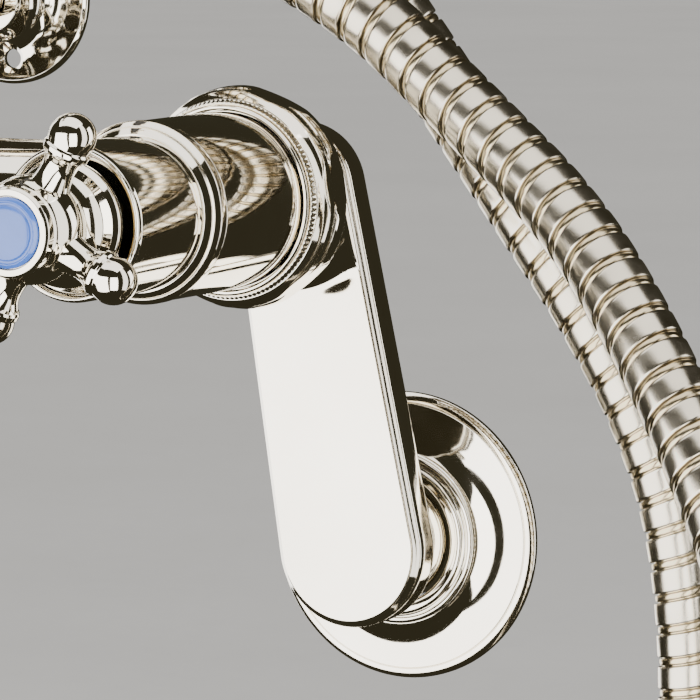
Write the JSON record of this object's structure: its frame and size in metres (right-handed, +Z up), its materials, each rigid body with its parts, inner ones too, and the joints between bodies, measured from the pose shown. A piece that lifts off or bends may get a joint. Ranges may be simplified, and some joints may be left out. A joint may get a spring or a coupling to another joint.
{
  "type": "pre rinse faucet",
  "caption": "Wall-mounted pre-rinse faucet: swing inlet arms with flanges and hex couplings, bridge body, cross handles, armoured hose and squeeze-lever spray in a cradle.",
  "frame": {"origin": "on the wall plane, midway between the two inlets", "axes": "+Z up, +X to the faucet's right side as seen from the front, -Y out of the wall"},
  "size_m": [0.4092, 0.1805, 0.6],
  "materials": {
    "nickel": "polished nickel plate",
    "steel": "bright stainless steel",
    "hose_steel": "bright interlocked metal strip",
    "brass": "machined",
    "ceramic": "lapped ceramic",
    "white_plastic": "moulded",
    "rubber": "moulded rubber",
    "hot_button": "gloss enamel",
    "cold_button": "gloss enamel"
  },
  "bodies": {
    "faucet_body": {"mixing_body": "nickel", "bonnet_ring_right": "nickel", "bonnet_ring_left": "nickel", "cartridge_right": "brass", "cartridge_left": "brass", "ceramic_seat_right": "ceramic", "ceramic_seat_left": "ceramic", "handle_sleeve_right": "nickel", "handle_sleeve_left": "nickel", "coupling_washer_right": "rubber", "coupling_washer_left": "rubber", "riser_nut": "nickel", "riser_pipe": "nickel", "hose_elbow": "nickel", "cradle_post": "nickel", "cradle_clip": "nickel", "bracket_clamp": "nickel", "bracket_rod": "nickel", "bracket_flange": "nickel", "bracket_screw": "steel", "hose": "hose_steel", "elbow_ferrule": "nickel", "spray_ferrule": "nickel", "elbow_hose_nut": "nickel", "spray_hose_nut": "nickel", "hose_washers": "rubber", "spray_body": "nickel", "spray_grip": "rubber", "lever_pin": "steel", "plunger_nut": "nickel", "plunger_spring": "steel", "spray_face": "white_plastic", "spray_bumper": "rubber", "face_screw": "steel"},
    "arm_right": {"wall_flange_right": "nickel", "swing_arm_right": "nickel", "check_valve_right": "white_plastic"},
    "nut_right": {"coupling_nut_right": "nickel"},
    "handle_right": {"cross_handle_right": "nickel", "handle_screw_right": "steel", "index_button_right": "cold_button", "stem_right": "brass", "ceramic_disc_right": "ceramic"},
    "arm_left": {"wall_flange_left": "nickel", "swing_arm_left": "nickel", "check_valve_left": "white_plastic"},
    "nut_left": {"coupling_nut_left": "nickel"},
    "handle_left": {"cross_handle_left": "nickel", "handle_screw_left": "steel", "index_button_left": "hot_button", "stem_left": "brass", "ceramic_disc_left": "ceramic"},
    "lever": {"squeeze_lever": "nickel"},
    "plunger": {"plunger": "brass"}
  },
  "joints": [
    {"name": "arm_swing_right", "type": "hinge", "parent": "faucet_body", "child": "arm_right", "pos_m": [0.08715, -0.05, 0.0795], "axis": [0, -1, 0], "range_deg": [-25, 25]},
    {"name": "nut_turn_right", "type": "hinge", "parent": "faucet_body", "child": "nut_right", "pos_m": [0.08715, -0.05, 0.0795], "axis": [0, -1, 0], "range_deg": [-60, 60]},
    {"name": "handle_turn_right", "type": "hinge", "parent": "faucet_body", "child": "handle_right", "pos_m": [0.08715, -0.14, 0.0795], "axis": [0, -1, 0], "range_deg": [-90, 0]},
    {"name": "arm_swing_left", "type": "hinge", "parent": "faucet_body", "child": "arm_left", "pos_m": [-0.08715, -0.05, 0.0795], "axis": [0, -1, 0], "range_deg": [-25, 25]},
    {"name": "nut_turn_left", "type": "hinge", "parent": "faucet_body", "child": "nut_left", "pos_m": [-0.08715, -0.05, 0.0795], "axis": [0, -1, 0], "range_deg": [-60, 60]},
    {"name": "handle_turn_left", "type": "hinge", "parent": "faucet_body", "child": "handle_left", "pos_m": [-0.08715, -0.14, 0.0795], "axis": [0, -1, 0], "range_deg": [0, 90]},
    {"name": "lever_squeeze", "type": "hinge", "parent": "faucet_body", "child": "lever", "pos_m": [-0.01582, -0.13363, 0.28123], "axis": [0.8162, -0.0069, 0.5777], "range_deg": [0, 9], "stiffness_Nm_per_rad": 2, "springref_deg": -8.59},
    {"name": "plunger_travel", "type": "slide", "parent": "faucet_body", "child": "plunger", "axis": [-0.1915, 0.9402, 0.2818], "range_m": [0, 0.00251], "deforming": ["plunger_spring"]}
  ],
  "couplings": [
    {"joint": "plunger_travel", "follows": "lever_squeeze", "m_per_rad": 0.016}
  ]
}
